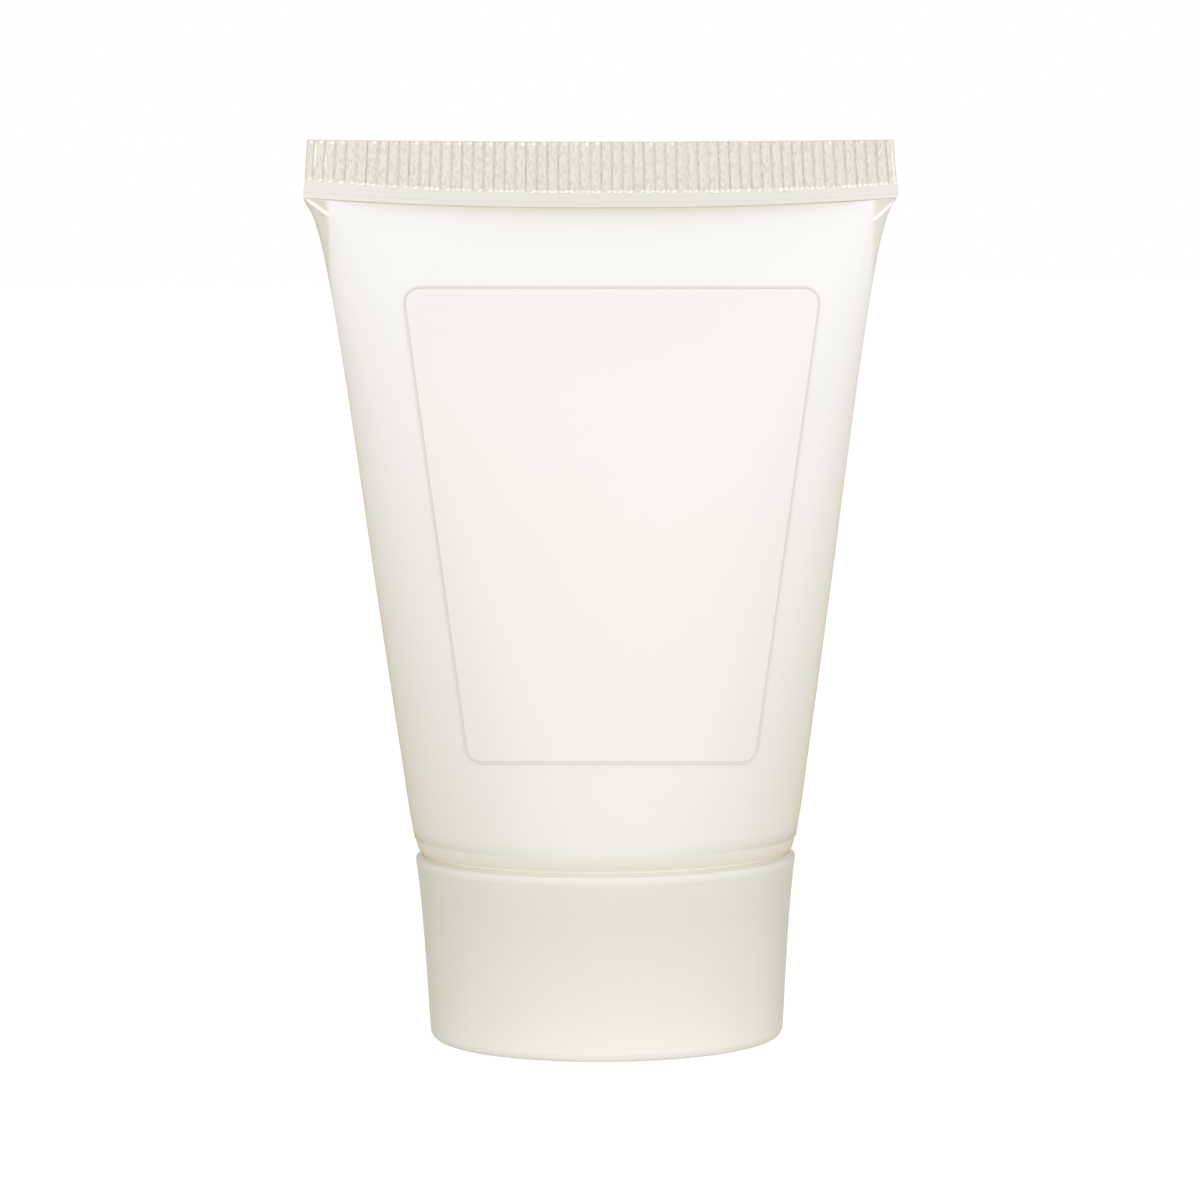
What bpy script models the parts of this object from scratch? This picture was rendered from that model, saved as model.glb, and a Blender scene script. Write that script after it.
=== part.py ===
"""A squeeze tube of lotion that stands on its screw cap, at its real size in metres.

The frame has +Z up, with its origin at the centre of the cap's flat base. The crimped seam along the
top runs along X, and the labelled front faces -Y. The cap is the piece that stands, and the tube turns
about Z and lifts along Z to come off it.
"""

import math

import bmesh
import bpy

# Sizes of the whole tube

TUBE_DIAMETER = 0.038
SLEEVE_WALL = 0.0005
SLEEVE_LENGTH = 0.0626
SHOULDER_ROUND = 0.003
FIT_GAP = 0.0003

# How the round sleeve flattens towards its seam: its depth falls to the seam as a curve with these powers

DEPTH_SPREAD_POWER = 0.8
DEPTH_ROUND_POWER = 0.42
PINCH_GAP = 0.00012
EAR_TUCK = 0.0005
EAR_REACH = 0.0012

# The crimped seam and its ribs

CRIMP_HEIGHT = 0.0067
CRIMP_THICKNESS = 0.0009
CRIMP_TOP_WIDTH_SHARE = 0.985
CRIMP_ROOT = 0.00025
CRIMP_OVERLAP = 0.0008
CRIMP_SINK = 0.00005
RIB_COUNT = 56
RIB_HEIGHT = 0.0003
RIB_FOOT = 0.0015
RIB_FOOT_RISE = 0.0013
RIB_FOOT_POWER = 2.5
RIB_FADE = 0.0007

# The screw cap

CAP_HEIGHT = 0.0185
CAP_BASE_DIAMETER = 0.0352
CAP_WALL = 0.0009
CAP_END_WALL = 0.0018
CAP_CORNER_ROUND = 0.001
CAP_FLOOR_FILLET = 0.0024
LIP_HEIGHT = 0.0009
LIP_EDGE = 0.0003
LIP_STEP = 0.00015
LIP_ROUND = 0.0002
MOUTH_DEPTH = 0.0012
BOSS_WALL = 0.0012
BOSS_CLEARANCE = 0.0006
BOSS_CHAMFER = 0.0003

# The liner disc that the cap presses on the neck

LINER_THICKNESS = 0.001

# The moulded head: shoulder, neck and orifice

NECK_CORE_DIAMETER = 0.0148
THREAD_DEPTH = 0.0008
NECK_WALL = 0.0013
NECK_CHAMFER = 0.0004
ORIFICE_DIAMETER = 0.0045
ORIFICE_LAND = 0.0011
SHOULDER_WALL = 0.0012
SHOULDER_SLOPE = math.radians(20)
FLANGE_WALL = 0.0009
SLEEVE_END_ANGLE = math.radians(72)

# The film label on the front

LABEL_BASE = 0.0088
LABEL_TOP_MARGIN = 0.0076
LABEL_OFFSET = 0.001
LABEL_FILM = 0.00015
LABEL_CORNER = 0.0016
LABEL_TOP_WIDTH_SHARE = 0.76
LABEL_BOTTOM_WIDTH_SHARE = 0.694

# Facets

RING_POINTS = 48
SLEEVE_RINGS = 14
ROUND_STEPS = 48
ARC_STEPS = 4
LABEL_COLUMNS = 10
LABEL_ROWS = 8
MERGE_DISTANCE = 0.00001

# Places that follow from the sizes

TUBE_RADIUS = TUBE_DIAMETER / 2
SEAM_HALF_DEPTH = SLEEVE_WALL + PINCH_GAP
FLAT_HALF_WIDTH = math.pi * TUBE_RADIUS / 2
LIP_INNER_RADIUS = TUBE_RADIUS - LIP_EDGE
SKIRT_RADIUS = TUBE_RADIUS - LIP_STEP

# The sleeve curls in over an arc whose lowest part nests in the cap's mouth, clear of the lip's inner edge
ARC_CENTRE_RADIUS = TUBE_RADIUS - SHOULDER_ROUND
SHOULDER_Z = CAP_HEIGHT + math.sqrt(
    (SHOULDER_ROUND + FIT_GAP) ** 2 - (LIP_INNER_RADIUS - ARC_CENTRE_RADIUS) ** 2
)
SEAM_Z = SHOULDER_Z + SLEEVE_LENGTH
TOP_Z = SEAM_Z + CRIMP_HEIGHT
LABEL_HEIGHT = SLEEVE_LENGTH - LABEL_BASE - LABEL_TOP_MARGIN

LINER_Z = CAP_END_WALL + FIT_GAP
NECK_TIP_Z = LINER_Z + LINER_THICKNESS + FIT_GAP
NECK_RADIUS = NECK_CORE_DIAMETER / 2
BORE_RADIUS = NECK_RADIUS - NECK_WALL
BOSS_BORE_RADIUS = NECK_RADIUS + THREAD_DEPTH + FIT_GAP
BOSS_RADIUS = BOSS_BORE_RADIUS + BOSS_WALL

FLANGE_ROUND = SHOULDER_ROUND - SLEEVE_WALL - FIT_GAP
FLANGE_INNER_ROUND = FLANGE_ROUND - FLANGE_WALL
STEP_ANGLE = SLEEVE_END_ANGLE + FIT_GAP / (SHOULDER_ROUND - SLEEVE_WALL / 2)


def arc(centre_r, centre_z, radius, start, end, steps=ARC_STEPS):
    """Points (r, z) of an arc, with angles in radians from +r towards -z."""
    angles = [start + (end - start) * step / steps for step in range(steps + 1)]
    return [(centre_r + radius * math.cos(a), centre_z - radius * math.sin(a)) for a in angles]


def curl(radius, start, end):
    """Points (r, z) on the curl of the sleeve's end, or on a surface that nests in it."""
    return arc(ARC_CENTRE_RADIUS, SHOULDER_Z, radius, start, end)


SHOULDER_EDGE = curl(SHOULDER_ROUND, STEP_ANGLE, STEP_ANGLE)[0]
NECK_ROOT_Z = SHOULDER_EDGE[1] - (SHOULDER_EDGE[0] - NECK_RADIUS) * math.tan(SHOULDER_SLOPE)
BORE_TOP_Z = (
    NECK_ROOT_Z
    - (NECK_RADIUS - BORE_RADIUS) * math.tan(SHOULDER_SLOPE)
    + SHOULDER_WALL / math.cos(SHOULDER_SLOPE)
)
BOSS_TOP_Z = NECK_ROOT_Z + (BOSS_BORE_RADIUS - NECK_RADIUS) * math.tan(SHOULDER_SLOPE) - BOSS_CLEARANCE


def plastic(name, color, roughness, alpha=1.0):
    """A Principled material of one plastic."""
    material = bpy.data.materials.new(name)
    material.use_nodes = True
    shader = material.node_tree.nodes["Principled BSDF"]
    shader.inputs["Base Color"].default_value = (*color, 1.0)
    shader.inputs["Roughness"].default_value = roughness
    shader.inputs["Metallic"].default_value = 0.0
    shader.inputs["Alpha"].default_value = alpha
    material.diffuse_color = (*color, alpha)
    return material


def add_object(name, mesh, collection, material=None):
    """Links a mesh to a collection as a named object."""
    obj = bpy.data.objects.new(name, mesh)
    if material:
        mesh.materials.append(material)
    collection.objects.link(obj)
    return obj


def turned(name, profile, closed, collection, material):
    """A turned piece: a profile of (r, z) points, running down its outer side, screwed about Z."""
    mesh = bpy.data.meshes.new(name)
    edges = [(i, i + 1) for i in range(len(profile) - 1)]
    if closed:
        edges.append((len(profile) - 1, 0))
    mesh.from_pydata([(r, 0, z) for r, z in profile], edges, [])
    obj = add_object(name, mesh, collection, material)
    screw = obj.modifiers.new("turn", "SCREW")
    screw.axis = "Z"
    screw.angle = 2 * math.pi
    screw.steps = ROUND_STEPS
    screw.render_steps = ROUND_STEPS
    screw.use_merge_vertices = True
    screw.merge_threshold = MERGE_DISTANCE
    screw.use_smooth_shade = False
    return obj


def loft(name, rings, collection, material=None):
    """A closed skin through rings of equal length, its first and last closed from side to side."""
    bm = bmesh.new()
    rows = [[bm.verts.new(point) for point in ring] for ring in rings]
    count = len(rings[0])
    for low, high in zip(rows, rows[1:]):
        for i in range(count):
            j = (i + 1) % count
            bm.faces.new((low[i], low[j], high[j], high[i]))
    for row in (rows[0], rows[-1]):
        for i in range(count // 2 - 1):
            bm.faces.new((row[i], row[i + 1], row[count - 2 - i], row[count - 1 - i]))
    bmesh.ops.recalc_face_normals(bm, faces=bm.faces)
    mesh = bpy.data.meshes.new(name)
    bm.to_mesh(mesh)
    bm.free()
    mesh.shade_smooth()
    mesh.set_sharp_from_angle(angle=math.radians(35))
    return add_object(name, mesh, collection, material)


def oval(half_width, half_depth, z):
    """A ring of points on an ellipse, set half a step round so that it closes from side to side."""
    angles = [2 * math.pi * (i + 0.5) / RING_POINTS for i in range(RING_POINTS)]
    return [(half_width * math.cos(a), half_depth * math.sin(a), z) for a in angles]


def half_depth_at(share):
    """Half the sleeve's depth at a share of its length, round at 0 and flat in the seam at 1."""
    fall = (1 - share**DEPTH_SPREAD_POWER) ** DEPTH_ROUND_POWER
    return SEAM_HALF_DEPTH + (TUBE_RADIUS - SEAM_HALF_DEPTH) * fall


def girth_of(a, b):
    """The length round an ellipse, by Ramanujan's second formula."""
    h = ((a - b) / (a + b)) ** 2
    return math.pi * (a + b) * (1 + 3 * h / (10 + math.sqrt(4 - 3 * h)))


def half_width_at(share):
    """Half the sleeve's width there, from its girth, which doesn't change as it flattens."""
    depth = half_depth_at(share)
    low, high = TUBE_RADIUS, FLAT_HALF_WIDTH
    for _ in range(40):
        middle = (low + high) / 2
        if girth_of(middle, depth) < math.pi * TUBE_DIAMETER:
            low = middle
        else:
            high = middle
    return low - EAR_TUCK * math.exp((share - 1) * SLEEVE_LENGTH / EAR_REACH)


def sleeve_shares():
    """Shares of the sleeve's length for its rings, closer together towards the seam."""
    return [1 - (1 - ring / SLEEVE_RINGS) ** 2 for ring in range(SLEEVE_RINGS + 1)]


def section(share, inset):
    """The sleeve's ring at a share of its length, set in from its outside."""
    z = SHOULDER_Z + share * SLEEVE_LENGTH
    return oval(half_width_at(share) - inset, half_depth_at(share) - inset, z)


def curled_end(inset):
    """Rings of the sleeve's lower end, from its open edge up to where the curl ends."""
    return [oval(r, r, z) for r, z in curl(SHOULDER_ROUND - inset, SLEEVE_END_ANGLE, 0)][:-1]


def make_crimp(collection):
    """The welded plate along the top, pressed into upright ribs that fade out above its lower edge."""
    columns = 4 * RIB_COUNT
    seam_half_width = half_width_at(1)

    def rib_foot(side_share):
        return SEAM_Z + RIB_FOOT + RIB_FOOT_RISE * abs(side_share) ** RIB_FOOT_POWER

    def row(half_width, height_at, press):
        front = []
        back = []
        for column in range(columns + 1):
            side_share = 2 * column / columns - 1
            bend = RIB_HEIGHT / 2 * press * (1 if column % 4 in (1, 2) else -1)
            x = half_width * side_share
            z = height_at(side_share)
            front.append((x, -bend - CRIMP_THICKNESS / 2, z))
            back.append((x, -bend + CRIMP_THICKNESS / 2, z))
        return front + back[::-1]

    rows = [
        row(seam_half_width + CRIMP_SINK, lambda side_share: SEAM_Z + CRIMP_ROOT, 0),
        row(FLAT_HALF_WIDTH, rib_foot, 0),
        row(FLAT_HALF_WIDTH, lambda side_share: rib_foot(side_share) + RIB_FADE, 1),
        row(FLAT_HALF_WIDTH * CRIMP_TOP_WIDTH_SHARE, lambda side_share: TOP_Z, 1),
    ]
    crimp = loft("crimp_plate", rows, collection)
    crimp.hide_render = True
    crimp.display_type = "WIRE"
    return crimp


def make_sleeve(collection, cutters, material):
    """The soft sleeve: round where it curls over the head, and welded flat along the top."""
    shares = sleeve_shares()
    inside = curled_end(SLEEVE_WALL) + [section(share, SLEEVE_WALL) for share in shares]
    outside = curled_end(0) + [section(share, 0) for share in shares]
    outside.append(oval(half_width_at(1), CRIMP_THICKNESS / 2 - CRIMP_SINK, SEAM_Z + CRIMP_OVERLAP))
    sleeve = loft("tube_sleeve", inside[::-1] + outside, collection, material)
    weld = sleeve.modifiers.new("welded seam", "BOOLEAN")
    weld.operation = "UNION"
    weld.solver = "EXACT"
    weld.object = make_crimp(cutters)
    return sleeve


def make_head(collection, material):
    """The moulded head that closes the sleeve: flange, shoulder, neck and orifice."""
    orifice_radius = ORIFICE_DIAMETER / 2
    profile = curl(FLANGE_ROUND, 0, STEP_ANGLE)
    profile.append(SHOULDER_EDGE)
    profile.append((NECK_RADIUS, NECK_ROOT_Z))
    profile.append((NECK_RADIUS, NECK_TIP_Z + NECK_CHAMFER))
    profile.append((NECK_RADIUS - NECK_CHAMFER, NECK_TIP_Z))
    profile.append((orifice_radius, NECK_TIP_Z))
    profile.append((orifice_radius, NECK_TIP_Z + ORIFICE_LAND))
    profile.append((BORE_RADIUS, NECK_TIP_Z + ORIFICE_LAND))
    profile.append((BORE_RADIUS, BORE_TOP_Z))
    profile += curl(FLANGE_INNER_ROUND, STEP_ANGLE, 0)
    return turned("tube_head", profile, True, collection, material)


def make_lotion(collection, material):
    """The lotion, which fills the neck and the sleeve up to just under the seam."""
    neck_fill = BORE_RADIUS - FIT_GAP
    rings = [
        oval(neck_fill, neck_fill, NECK_TIP_Z + ORIFICE_LAND + FIT_GAP),
        oval(neck_fill, neck_fill, BORE_TOP_Z + FIT_GAP),
    ]
    rings += [oval(r, r, z) for r, z in curl(FLANGE_INNER_ROUND - FIT_GAP, STEP_ANGLE, 0)]
    over_flange = ARC_CENTRE_RADIUS + FLANGE_INNER_ROUND - FIT_GAP
    rings.append(oval(over_flange, over_flange, SHOULDER_Z + FIT_GAP))
    filled = TUBE_RADIUS - SLEEVE_WALL - 2 * FIT_GAP
    rings.append(oval(filled, filled, SHOULDER_Z + 2 * FIT_GAP))
    rings += [section(share, SLEEVE_WALL + FIT_GAP) for share in sleeve_shares()[1:-2]]
    return loft("lotion", rings, collection, material)


def make_label(collection, material):
    """The film label: a tapered panel with round corners that lies over the sleeve's front."""

    def half_width_of_label(height_share):
        share = (LABEL_BASE + LABEL_HEIGHT * height_share) / SLEEVE_LENGTH
        reach = LABEL_BOTTOM_WIDTH_SHARE + (LABEL_TOP_WIDTH_SHARE - LABEL_BOTTOM_WIDTH_SHARE) * height_share
        return half_width_at(share) * reach

    def rows_of_label():
        corner = LABEL_CORNER / LABEL_HEIGHT
        turns = [corner * (1 - math.cos(math.pi / 2 * step / ARC_STEPS)) for step in range(ARC_STEPS)]
        middle = [corner + (1 - 2 * corner) * step / LABEL_ROWS for step in range(LABEL_ROWS + 1)]
        return turns + middle + [1 - turn for turn in reversed(turns)]

    bm = bmesh.new()
    rows = []
    for height_share in rows_of_label():
        from_edge = min(height_share, 1 - height_share) * LABEL_HEIGHT
        into_corner = max(LABEL_CORNER - from_edge, 0)
        cut = LABEL_CORNER - math.sqrt(LABEL_CORNER**2 - into_corner**2)
        half_width = half_width_of_label(height_share) - cut
        share = (LABEL_BASE + LABEL_HEIGHT * height_share) / SLEEVE_LENGTH
        width = half_width_at(share) + FIT_GAP
        depth = half_depth_at(share) + FIT_GAP
        row = []
        for column in range(LABEL_COLUMNS + 1):
            x = LABEL_OFFSET + half_width * (2 * column / LABEL_COLUMNS - 1)
            y = -depth * math.sqrt(1 - (x / width) ** 2)
            row.append(bm.verts.new((x, y, SHOULDER_Z + share * SLEEVE_LENGTH)))
        rows.append(row)
    for low, high in zip(rows, rows[1:]):
        for i in range(LABEL_COLUMNS):
            bm.faces.new((low[i], low[i + 1], high[i + 1], high[i]))
    mesh = bpy.data.meshes.new("front_label")
    bm.to_mesh(mesh)
    bm.free()
    mesh.shade_smooth()
    label = add_object("front_label", mesh, collection, material)
    film = label.modifiers.new("film", "SOLIDIFY")
    film.thickness = LABEL_FILM
    film.offset = 1
    return label


def skirt_radius_at(z):
    """The outside of the cap's tapered skirt at a height."""
    taper = (SKIRT_RADIUS - CAP_BASE_DIAMETER / 2) / (CAP_HEIGHT - LIP_HEIGHT)
    return CAP_BASE_DIAMETER / 2 + taper * z


def make_cap(collection, material):
    """The screw cap: a tapered skirt with a flat end to stand on, and a boss inside for the neck."""
    floor_radius = skirt_radius_at(CAP_END_WALL) - CAP_WALL
    mouth_z = CAP_HEIGHT - MOUTH_DEPTH
    profile = [
        (0, CAP_END_WALL),
        (BOSS_BORE_RADIUS, CAP_END_WALL),
        (BOSS_BORE_RADIUS, BOSS_TOP_Z - BOSS_CHAMFER),
        (BOSS_BORE_RADIUS + BOSS_CHAMFER, BOSS_TOP_Z),
        (BOSS_RADIUS, BOSS_TOP_Z),
        (BOSS_RADIUS, CAP_END_WALL),
    ]
    fillet_z = CAP_END_WALL + CAP_FLOOR_FILLET
    profile += arc(floor_radius - CAP_FLOOR_FILLET, fillet_z, CAP_FLOOR_FILLET, math.pi / 2, 0)
    profile.append((skirt_radius_at(mouth_z) - CAP_WALL, mouth_z))
    profile.append((LIP_INNER_RADIUS, CAP_HEIGHT))
    profile += arc(TUBE_RADIUS - LIP_ROUND, CAP_HEIGHT - LIP_ROUND, LIP_ROUND, -math.pi / 2, 0, 2)
    profile.append((TUBE_RADIUS, CAP_HEIGHT - LIP_HEIGHT))
    profile.append((SKIRT_RADIUS, CAP_HEIGHT - LIP_HEIGHT - LIP_STEP))
    corner_radius = skirt_radius_at(CAP_CORNER_ROUND) - CAP_CORNER_ROUND
    profile += arc(corner_radius, CAP_CORNER_ROUND, CAP_CORNER_ROUND, 0, math.pi / 2)
    profile.append((0, 0))
    return turned("screw_cap", profile, False, collection, material)


def make_liner(collection, material):
    """The sealing disc that lies loose in the boss, under the neck's tip."""
    radius = BOSS_BORE_RADIUS - FIT_GAP
    top = LINER_Z + LINER_THICKNESS
    profile = [(0, top), (radius, top), (radius, LINER_Z), (0, LINER_Z)]
    return turned("cap_liner", profile, False, collection, material)


def main():
    for obj in list(bpy.data.objects):
        bpy.data.objects.remove(obj, do_unlink=True)
    parts = bpy.data.collections.new("lotion_tube")
    cutters = bpy.data.collections.new("cutters")
    bpy.context.scene.collection.children.link(parts)
    bpy.context.scene.collection.children.link(cutters)

    sleeve_plastic = plastic("translucent_sleeve", (0.86, 0.84, 0.77), 0.4)
    head_plastic = plastic("translucent_head", (0.84, 0.82, 0.75), 0.35)
    cap_plastic = plastic("translucent_cap", (0.8, 0.77, 0.68), 0.3)
    liner_foam = plastic("white_foam", (0.9, 0.9, 0.88), 0.7)
    cream = plastic("cream", (0.93, 0.91, 0.86), 0.45)
    clear_film = plastic("label_film", (0.92, 0.91, 0.87), 0.3)

    lift_axis = bpy.data.objects.new("tube_lift_axis", None)
    parts.objects.link(lift_axis)

    make_cap(parts, cap_plastic)
    make_liner(parts, liner_foam)
    tube_pieces = (
        make_sleeve(parts, cutters, sleeve_plastic),
        make_head(parts, head_plastic),
        make_lotion(parts, cream),
        make_label(parts, clear_film),
    )
    for piece in tube_pieces:
        piece.parent = lift_axis


main()
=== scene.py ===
"""The looks of a squeeze tube of lotion that stands on its screw cap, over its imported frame.

Lengths are in metres, +Z is up and the front faces -Y. The sleeve, its contents, the head, the cap,
the liner and the label are made again here on the solids' own sizes, as finer meshes with their
materials, and they stand in a pale studio.
"""

import math

import bmesh
import bpy
import numpy as np
from mathutils import Euler, Matrix, Vector


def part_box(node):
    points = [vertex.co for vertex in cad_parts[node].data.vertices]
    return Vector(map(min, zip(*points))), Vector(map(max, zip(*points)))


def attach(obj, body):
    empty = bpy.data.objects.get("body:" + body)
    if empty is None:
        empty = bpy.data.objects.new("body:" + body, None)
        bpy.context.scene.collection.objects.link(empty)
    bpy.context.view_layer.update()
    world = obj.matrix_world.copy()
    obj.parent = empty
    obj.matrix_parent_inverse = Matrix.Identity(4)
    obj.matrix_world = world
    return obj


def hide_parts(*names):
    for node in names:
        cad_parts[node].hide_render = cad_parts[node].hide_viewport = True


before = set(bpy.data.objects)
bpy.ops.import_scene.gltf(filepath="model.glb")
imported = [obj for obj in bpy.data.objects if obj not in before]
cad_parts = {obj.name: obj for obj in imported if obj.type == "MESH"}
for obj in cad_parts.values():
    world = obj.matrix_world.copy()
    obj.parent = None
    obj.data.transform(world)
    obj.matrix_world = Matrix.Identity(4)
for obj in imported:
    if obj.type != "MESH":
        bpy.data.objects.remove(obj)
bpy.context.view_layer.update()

MM = 0.001

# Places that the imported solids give

SLEEVE_HIGH = Vector(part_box("tube_sleeve")[1])
CAP_HIGH = Vector(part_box("screw_cap")[1])
HEAD_LOW = Vector(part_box("tube_head")[0])
LINER_LOW, LINER_HIGH = (Vector(corner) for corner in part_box("cap_liner"))
LABEL_LOW, LABEL_HIGH = (Vector(corner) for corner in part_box("front_label"))

TUBE_RADIUS = SLEEVE_HIGH.y
TOP_Z = SLEEVE_HIGH.z
SEAM_WIDEST = SLEEVE_HIGH.x
CAP_HEIGHT = CAP_HIGH.z

# Sizes of the sleeve

SLEEVE_WALL = 0.5 * MM
CRIMP_HEIGHT = 6.7 * MM
SLEEVE_LENGTH = 62.6 * MM
SHOULDER_ROUND = 3.0 * MM
SLEEVE_END_ANGLE = math.radians(72)
FIT_GAP = 0.3 * MM
SEAM_Z = TOP_Z - CRIMP_HEIGHT
SHOULDER_Z = SEAM_Z - SLEEVE_LENGTH
ARC_CENTRE_RADIUS = TUBE_RADIUS - SHOULDER_ROUND

# Half the outline's width, as shares of the flat seam's, at shares of the sleeve's length
WIDTH_SHARES = (
    (0.0, 0.6384), (0.0546, 0.6576), (0.1029, 0.6716), (0.1511, 0.6861), (0.2153, 0.7053),
    (0.2955, 0.7290), (0.3756, 0.7524), (0.4556, 0.7754), (0.5354, 0.7975), (0.6151, 0.8202),
    (0.6948, 0.8435), (0.7425, 0.8582), (0.8219, 0.8837), (0.8854, 0.9062), (0.9171, 0.9188),
    (0.9488, 0.9330), (0.9710, 0.9457), (0.9868, 0.9565), (0.9931, 0.9621), (0.9995, 0.9689),
    (1.0042, 0.9752), (1.0090, 0.9818), (1.0137, 0.9860), (1.0185, 0.9886), (1.0232, 0.9895),
    (1.0280, 0.9886), (1.0327, 0.9866), (1.0390, 0.9856), (1.0564, 0.9822), (1.0786, 0.9786),
    (1.1023, 0.9753), (1.107, 0.9747),
)

# The filled part of the body, which goes from round at the shoulder to flat in the seam
DEPTH_SPREAD_POWER = 0.8
DEPTH_ROUND_POWER = 0.42
CORE_WIDTH_SHARE = 0.911
CORE_BLEND = 0.25 * MM

# The pinched fin at each side, and how far below the seam it starts and is full
FIN_HALF_DEPTH = 0.5 * MM
FIN_LEAST_DEPTH = 0.01 * MM
FIN_BLEND = 0.45 * MM
FIN_START = 16 * MM
FIN_FULL = 7 * MM

# The seam sags in its middle, and the body's rings follow it over the last stretch below it
SEAM_SAG = 0.9 * MM
SEAM_SAG_POWER = 2.4
SEAM_PULL = 7 * MM
TOP_SAG = 0.2 * MM

# The crimp is trimmed a little off square
CRIMP_TILT = math.tan(math.radians(0.4))

# Creases that run in from the seam's ends, from one (width share, height over it) to another
CREASES = (
    ((-0.9985, 1.25 * MM), (-0.9030, -0.80 * MM)),
    ((0.9920, 0.98 * MM), (0.9030, -1.36 * MM)),
)
CREASE_HEIGHT = 0.2 * MM
CREASE_REACH = 0.21 * MM
CREASE_EDGE = (0.95, 0.99)

# How strokes taper
BLUNT_POWER = 0.6
BLUNT_END = (0.93, 1.03)
LEAST_TAPER = 0.05

# The crimp and its ribs
CRIMP_HALF_THICKNESS = 0.45 * MM
RIB_COUNT = 56
RIB_PITCH = 2 * SEAM_WIDEST / RIB_COUNT
RIB_HEIGHT = 0.16 * MM
RIB_FOOT = 1.5 * MM
LEFT_FOOT_RISE = 1.35 * MM
RIGHT_FOOT_RISE = 0.88 * MM
RIB_FOOT_POWER = 2.5
RIB_COLUMNS = (0.0, 0.06, 0.12, 0.19, 0.28, 0.38, 0.48, 0.58, 0.68, 0.78, 0.87, 0.94)
RIB_PROFILE = (0.0, 0.35, 0.8, 1.0, 1.0, 0.98, 0.94, 0.9, 0.84, 0.76, 0.56, 0.24)

# Where the ribs stand from side to side: the share that even ribs would have, and their own
RIB_PLACES = (
    (-1.0, -1.0), (-0.965, -0.9748), (-0.73, -0.7368), (-0.55, -0.5558), (-0.36, -0.3639),
    (-0.19, -0.1914), (0.0, 0.0022), (0.17, 0.1749), (0.36, 0.3678), (0.53, 0.5383),
    (0.72, 0.7270), (0.9, 0.9075), (0.965, 0.9718), (1.0, 1.0),
)
EVEN_PLACES, OWN_PLACES = np.array(RIB_PLACES).T

# Small folds at the ribs' feet, each a rising and a falling stroke between two shares of the pitch
TICK_HEIGHT = 0.1 * MM
TICK_WIDTH = 0.13 * MM
TICK_REACH = 0.15 * MM
RISING_TICK = (0.5, 1.0)
FALLING_TICK = (0.0, 0.45)

# Painted glints: light dots where some ribs end at the top
DOT_PLACE = 0.7
DOT_BELOW = 0.22 * MM
DOT_RADIUS = 0.16 * MM

# Painted glints, streaks on the first ribs: rib, place across it, start and end below the top,
# strength
GLINTS = (
    (1, 0.1, 0.4 * MM, 2.9 * MM, 1.0), (2, 0.1, 1.6 * MM, 2.8 * MM, 0.8),
    (3, 0.05, 1.9 * MM, 2.6 * MM, 0.45), (4, 0.05, 2.1 * MM, 2.5 * MM, 0.4),
    (55, 0.7, 0.6 * MM, 4.4 * MM, 0.45),
)
GLINT_WIDTH = 0.11
GLINT_FADE = 0.3 * MM
GLINT_TAIL = 0.5 * MM

# The painted shade between the ribs' smooth crests: where across a rib it starts, from side to
# side, and its end; a darker painted line near that end; and painted shade at the crimp's two cut
# ends
SHADE_STARTS = ((-1, 0.86), (-0.6, 0.78), (-0.3, 0.62), (0, 0.5), (1, 0.53))
SHADE_SOFTNESS = 0.09
SHADE_END = (0.93, 1.0)
SHADE_STRENGTH = 0.65
SHADE_LINE = 0.9
SHADE_LINE_WIDTH = 0.07
CUT_END = (0.988, 0.996)

# The cap
CAP_WALL = 0.9 * MM
CAP_END_WALL = 1.8 * MM
CAP_CORNER_ROUND = 1.05 * MM
CAP_FLOOR_FILLET = 2.4 * MM
MOUTH_DEPTH = 1.2 * MM

# The cap's lip, which nests round the sleeve's curl; its profile pairs shares of the way across its
# top, from the inside out, with shares of its slope
LIP_HEIGHT = 0.85 * MM
LIP_LOW = CAP_HEIGHT - LIP_HEIGHT
LIP_RISE = 0.17 * MM
LIP_SLOPE = 0.36 * MM
LIP_CLEARANCE = 0.012 * MM
LIP_NEST_ANGLE = math.radians(14)
LIP_PROFILE = ((0.06, 0.02), (0.25, 0.17), (0.5, 0.4), (0.75, 0.66), (0.92, 0.86), (1.0, 1.08))
LIP_EDGE_HEIGHT = 0.12 * MM
LIP_UNDERCUT = 0.04 * MM
LIP_STEP = 0.1 * MM
SKIRT_START = 0.3 * MM
SKIRT_END = 1.2 * CAP_CORNER_ROUND

# The cap's outside radius at some heights, which tapers in a shallow curve
SKIRT_RADII = MM * np.array((
    (0.0, 17.58), (2.0, 17.74), (5.6, 17.94), (8.6, 18.13),
    (11.7, 18.34), (13.7, 18.50), (15.7, 18.71), (17.6, 18.92),
))

# The cap's boss, with its thread's place over the liner and its fillet's (run, rise) points
BOSS_WALL = 1.2 * MM
BOSS_CLEARANCE = 0.6 * MM
BOSS_CHAMFER = 0.3 * MM
BOSS_EDGE = 0.15 * MM
BOSS_FILLET = ((0, 0.5 * MM), (0.15 * MM, 0.15 * MM), (0.5 * MM, 0))
BORE_THREAD_RISE = 0.8 * MM
BORE_THREAD_LEAD = 0.2 * MM
BORE_THREAD_FADES = (0.8 * MM, 0.9 * MM, 0.4 * MM)

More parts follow.
